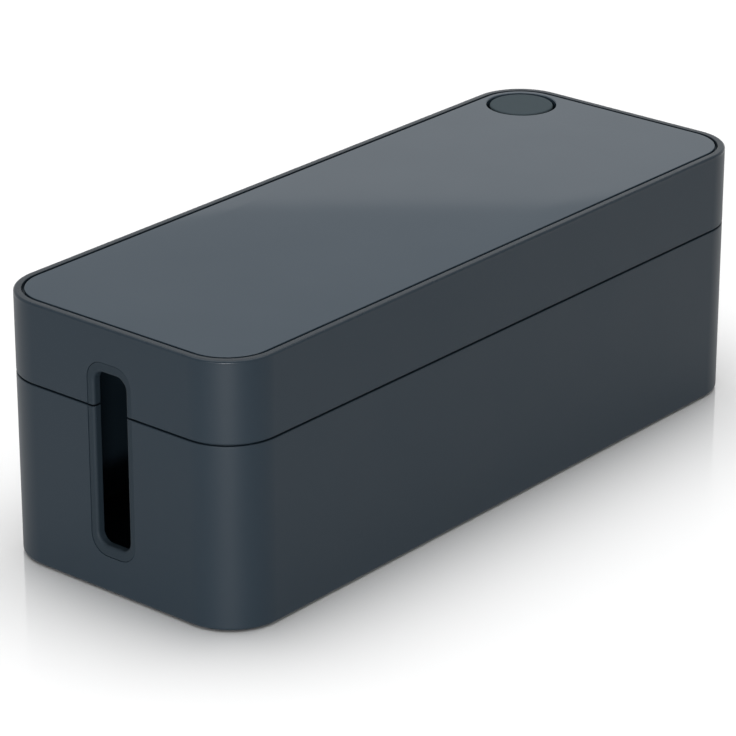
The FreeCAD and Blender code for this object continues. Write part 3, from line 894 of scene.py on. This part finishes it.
def make_plug():
    """The plug's section, as insets from its own radius."""
    spigot = PLUG_RADIUS - SPIGOT_RADIUS
    core = spigot + SPIGOT_WALL
    centre = PLUG_RADIUS - CENTRE_RADIUS
    points = [
        (centre, TOP),
        *arc((PLUG_ROUND, TOP - PLUG_ROUND), PLUG_ROUND, 90, 180),
        (0, LEDGE_TOP),
        (spigot, LEDGE_TOP),
        *arc((spigot + SPIGOT_ROUND, plug_low.z + SPIGOT_ROUND), SPIGOT_ROUND, 180, 270, SMALL_STEPS),
        (core, plug_low.z),
        (core, TOP - PLUG_TOP),
        (centre, TOP - PLUG_TOP),
    ]
    plug = swept("plug", points, tree=TURNING, material=PLUG, place=OUTLET, Radius=PLUG_RADIUS)
    fit(plug, "outlet_plug", "plug")


make_plug()

# %% [markdown]
# ## The trims
# A soft trim lines each slot, so that cables bend over a round edge instead of
# a sharp one. Its section is a C that grips the wall: a face in the recess, a
# thin web through the wall and a flange inside. It follows the slot's outline,
# whose margins differ beside and above the slot, so rings of that outline are
# joined one to the next. The lid takes the upper part and the tub the lower.

# %% The trim's section


def trim_section():
    """Margins beside and above the slot, and the depth in the wall, once round the C."""
    hole = [(margin, margin, depth) for margin, depth in
            arc((SLOT_EDGE_ROUND, TRIM_FACE + SLOT_EDGE_ROUND), SLOT_EDGE_ROUND, 180, 270)]
    rim = [(SIDE_BAND + margin, END_BAND + margin, depth) for margin, depth in
           arc((-TRIM_ROUND, TRIM_FACE + TRIM_ROUND), TRIM_ROUND, 270, 360, SMALL_STEPS)]
    return [
        (0, 0, TRIM_BACK),
        *hole,
        *rim,
        (SIDE_BAND, END_BAND, TRIM_RECESS),
        (TRIM_WEB, TRIM_WEB, TRIM_RECESS),
        (TRIM_WEB, TRIM_WEB, WALL),
        (SIDE_BAND, END_BAND, WALL),
        (SIDE_BAND, END_BAND, TRIM_BACK),
    ]


print(f"trim section: {len(trim_section())} points")

# %% The four trims


def make_trim(name, node, side, upper):
    """Half of a slot's trim. The right end's is the left one's, turned half round."""
    edit = bmesh.new()
    loops = [[edit.verts.new(point) for point in slot_ring(beside, above, depth - LENGTH / 2)]
             for beside, above, depth in trim_section()]
    between_rings(edit, loops + loops[:1])
    level, away = (SKIRT_EDGE, -1) if upper else (TUB_RIM, 1)
    everything = edit.verts[:] + edit.edges[:] + edit.faces[:]
    bmesh.ops.bisect_plane(edit, geom=everything, plane_co=(0, 0, level), plane_no=(0, 0, away),
                           clear_outer=True)
    bmesh.ops.holes_fill(edit, edges=edit.edges, sides=0)
    if side > 0:
        bmesh.ops.rotate(edit, verts=edit.verts, matrix=Matrix.Rotation(math.pi, 3, "Z"))
    bmesh.ops.recalc_face_normals(edit, faces=edit.faces)
    mesh = bpy.data.meshes.new(name)
    edit.to_mesh(mesh)
    edit.free()
    mesh.materials.append(TRIM)
    fit(place_in_scene(name, mesh), node, "lid" if upper else "tub")


for end, side in (("left", -1), ("right", 1)):
    make_trim(f"{end}_trim_in_tub", f"{end}_slot_trim_lower", side, False)
    make_trim(f"{end}_trim_in_lid", f"{end}_slot_trim_upper", side, True)

# %% [markdown]
# ## The feet
# Four round rubber feet sit in recesses of the floor and lift the tub by less
# than a millimetre, which is the thin shadow under the box.

# %% The feet


def make_foot(node, box):
    top = box[1].z
    centre = FOOT_RADIUS - CENTRE_RADIUS
    points = [
        (centre, top),
        (0, top),
        *arc((FOOT_ROUND, FOOT_ROUND), FOOT_ROUND, 180, 270, SMALL_STEPS),
        (centre, 0),
    ]
    foot = swept(f"rubber_{node}", points, tree=TURNING, material=FOOT, place=(*middle(box), 0),
                 Radius=FOOT_RADIUS, Steps=FOOT_STEPS)
    fit(foot, node, "tub")


for node, box in FEET.items():
    make_foot(node, box)

# %% [markdown]
# ## The floor
# The photograph's pale floor mirrors the box where the two meet, and the image
# fades away within a hand's width, which no real varnish does. So the floor is
# a plain matt white mixed with a mirror, and the mirror's share falls with the
# distance from the box's outline, worked out from Object coordinates. As on any
# polished board, the share is also less for an eye that looks straight down.
# Far from the box the floor turns into the white of the backdrop.

# %% Floor
FLOOR_HALF = 6.0
FLOOR_SEEN = 0.89
FLOOR_BOUNCE = 0.20
MIRROR_AT_BOX = 0.82
MIRROR_FADE = 28 * MM
MIRROR_ROUGHNESS = 0.04
FAR_FROM = 0.6
FAR_TO = 2.6
FAR_GLOW = 0.5
EVEN_BLEND = 0.5


def image_ray(nodes):
    """1 for a ray that carries an image to the camera, straight or by a mirror or glass."""
    path = nodes.add("ShaderNodeLightPath").outputs
    mirrored = nodes.math("MAXIMUM", path["Is Glossy Ray"], path["Is Transmission Ray"])
    return nodes.math("MAXIMUM", mirrored, path["Is Camera Ray"])


def distance_from_box(nodes):
    """How far a place on the floor lies from the box's outline."""
    place = nodes.add("ShaderNodeTexCoord").outputs["Object"]
    straight = (LENGTH / 2 - CORNER_RADIUS, WIDTH / 2 - CORNER_RADIUS, 0)
    across = nodes.add("ShaderNodeVectorMath", {"operation": "ABSOLUTE"}, place)
    beyond = nodes.add("ShaderNodeVectorMath", {"operation": "SUBTRACT"}, across, straight)
    beyond = nodes.add("ShaderNodeVectorMath", {"operation": "MAXIMUM"}, beyond, (0, 0, 0))
    reach = nodes.add("ShaderNodeVectorMath", {"operation": "LENGTH"}, beyond).outputs["Value"]
    return nodes.math("MAXIMUM", nodes.math("SUBTRACT", reach, CORNER_RADIUS), 0.0)


def mirror_share(nodes, away):
    """The mirror's share of the floor, which fades away from the box's outline."""
    fade = nodes.math("EXPONENT", nodes.math("DIVIDE", away, -MIRROR_FADE))
    glance = nodes.add("ShaderNodeLayerWeight", Blend=EVEN_BLEND).outputs["Facing"]
    return nodes.math("MULTIPLY", nodes.math("MULTIPLY", fade, glance), MIRROR_AT_BOX)


def far_glow(nodes, away, seen):
    """The white of the far floor, for rays that carry an image only."""
    rise = nodes.add("ShaderNodeMapRange", {"interpolation_type": "SMOOTHSTEP"}, Value=away,
                     From_Min=FAR_FROM, From_Max=FAR_TO, To_Max=FAR_GLOW).outputs["Result"]
    return nodes.math("MULTIPLY", rise, seen)


def add_floor():
    mesh = bpy.data.meshes.new("floor")
    corners = [(-FLOOR_HALF, -FLOOR_HALF, 0), (FLOOR_HALF, -FLOOR_HALF, 0),
               (FLOOR_HALF, FLOOR_HALF, 0), (-FLOOR_HALF, FLOOR_HALF, 0)]
    mesh.from_pydata(corners, [], [(0, 1, 2, 3)])
    material = bpy.data.materials.new("pale_floor")
    material.use_nodes = True
    shader = material.node_tree.nodes["Principled BSDF"]
    output = material.node_tree.nodes["Material Output"]
    nodes = Nodes(material.node_tree)
    seen = image_ray(nodes)
    away = distance_from_box(nodes)
    shade_seen = nodes.math("MULTIPLY_ADD", seen, FLOOR_SEEN - FLOOR_BOUNCE, FLOOR_BOUNCE)
    nodes.feed(shader.inputs["Base Color"], shade_seen)
    nodes.feed(shader.inputs["Emission Strength"], far_glow(nodes, away, seen))
    shader.inputs["Emission Color"].default_value = (1, 1, 1, 1)
    shader.inputs["Roughness"].default_value = 1.0
    shader.inputs["Specular IOR Level"].default_value = 0.0
    mirror = nodes.add("ShaderNodeBsdfGlossy", Color=(1, 1, 1, 1), Roughness=MIRROR_ROUGHNESS)
    mixed = nodes.add("ShaderNodeMixShader", {}, mirror_share(nodes, away), shader, mirror)
    nodes.feed(output.inputs["Surface"], mixed)
    mesh.materials.append(material)
    place_in_scene("floor", mesh)


add_floor()
print(f"floor {2 * FLOOR_HALF:.0f} m across, mirror fades over {MIRROR_FADE / MM:.0f} mm")

# %% [markdown]
# ## The light
# The photograph is a studio one: even light from all round, a broad softbox
# above, and two low ones near the camera. The small one draws the soft line on
# the near corner, and the long one lifts the left end. The background that the
# camera and the gloss see is white up to a line, as a lit backdrop is, and a
# little darker above it. Only rays that carry an image see it, so it adds no
# other light to the box.

# %% World
DOME = 0.53
BACKDROP = 1.0
ABOVE_BACKDROP = 0.65
BACKDROP_EDGE = (0.3475, 0.3500)


def add_world():
    world = bpy.data.worlds.new("studio")
    bpy.context.scene.world = world
    world.use_nodes = True
    tree = world.node_tree
    tree.nodes.clear()
    nodes = Nodes(tree)
    camera_ray = nodes.add("ShaderNodeLightPath").outputs["Is Camera Ray"]
    direction = nodes.add("ShaderNodeTexCoord").outputs["Generated"]
    rise = nodes.add("ShaderNodeSeparateXYZ", {}, direction).outputs["Z"]
    backdrop = nodes.add("ShaderNodeMapRange", Value=rise,
                         From_Min=BACKDROP_EDGE[0], From_Max=BACKDROP_EDGE[1],
                         To_Min=BACKDROP, To_Max=ABOVE_BACKDROP).outputs["Result"]
    seen_level = nodes.math("MAXIMUM", backdrop, camera_ray)
    white = (1, 1, 1, 1)
    seen = nodes.add("ShaderNodeBackground", Color=white, Strength=seen_level)
    dome = nodes.add("ShaderNodeBackground", Color=white, Strength=DOME)
    mix = nodes.add("ShaderNodeMixShader", {}, image_ray(nodes), dome, seen)
    output = tree.nodes.new("ShaderNodeOutputWorld")
    nodes.feed(output.inputs["Surface"], mix)


add_world()
print(f"dome {DOME}, backdrop {BACKDROP} and {ABOVE_BACKDROP} above its edge")

# %% Softboxes
BOX_MIDDLE = (0, 0, 0.1)
NEAR_CORNER = (-0.17, -0.05, 0.07)
SOFTBOXES = {
    "overhead": {"size": (2.8, 2.4), "power": 52.5, "place": (0.15, 0.15, 2.4), "target": BOX_MIDDLE},
    "low_front": {"size": (0.6, 0.16), "power": 37.0,
                  "place": (-1.848, -1.361, 0.10), "target": NEAR_CORNER},
    "low_left": {"size": (1.6, 0.5), "power": 14.0,
                 "place": (-2.01, -0.93, 0.26), "target": NEAR_CORNER},
}


def add_softbox(name, size, power, place, target):
    light = bpy.data.lights.new(name, "AREA")
    light.shape = "RECTANGLE"
    light.size, light.size_y = size
    light.energy = power
    lamp = bpy.data.objects.new(name, light)
    lamp.location = place
    lamp.rotation_euler = (Vector(place) - Vector(target)).to_track_quat("Z", "Y").to_euler()
    lamp.visible_camera = False
    bpy.context.scene.collection.objects.link(lamp)


for name, settings in SOFTBOXES.items():
    add_softbox(name, **settings)
bpy.context.scene.view_settings.view_transform = "Standard"
print("softboxes:", list(SOFTBOXES))
